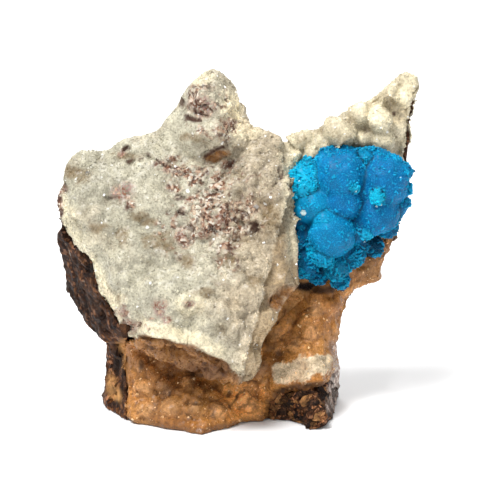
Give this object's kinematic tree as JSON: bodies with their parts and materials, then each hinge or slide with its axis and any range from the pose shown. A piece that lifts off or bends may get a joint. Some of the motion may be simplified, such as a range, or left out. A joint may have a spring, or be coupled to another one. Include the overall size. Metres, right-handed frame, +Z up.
{
  "type": "cavansite specimen",
  "caption": "Free-standing rock specimen: vivid blue cavansite rosettes on a pale druse plate over a dark basalt matrix with a brown druse hollow.",
  "frame": {"origin": "centre of the bounding box on the plane that the specimen rests on", "axes": "+X to the right of the crystal-covered front, along the widest extent; +Y from the front to the back; +Z up"},
  "size_m": [0.0748, 0.0418, 0.0711],
  "materials": {
    "basalt": "dark reddish-brown broken basalt, matt, with vesicles and fresh glints",
    "pale_druse": "sugary cream and greenish-white crystal druse, sparkling, stained rust-brown in patches",
    "brown_druse": "orange-brown iron-stained druse with golden glints",
    "cavansite": "saturated blue velvety rosettes of fine radiating blades with a vitreous sheen"
  },
  "bodies": {
    "root": {"basalt_matrix": "basalt", "pale_druse_plate": "pale_druse", "brown_druse_lining": "brown_druse", "cavansite_cluster": "cavansite"}
  },
  "joints": []
}
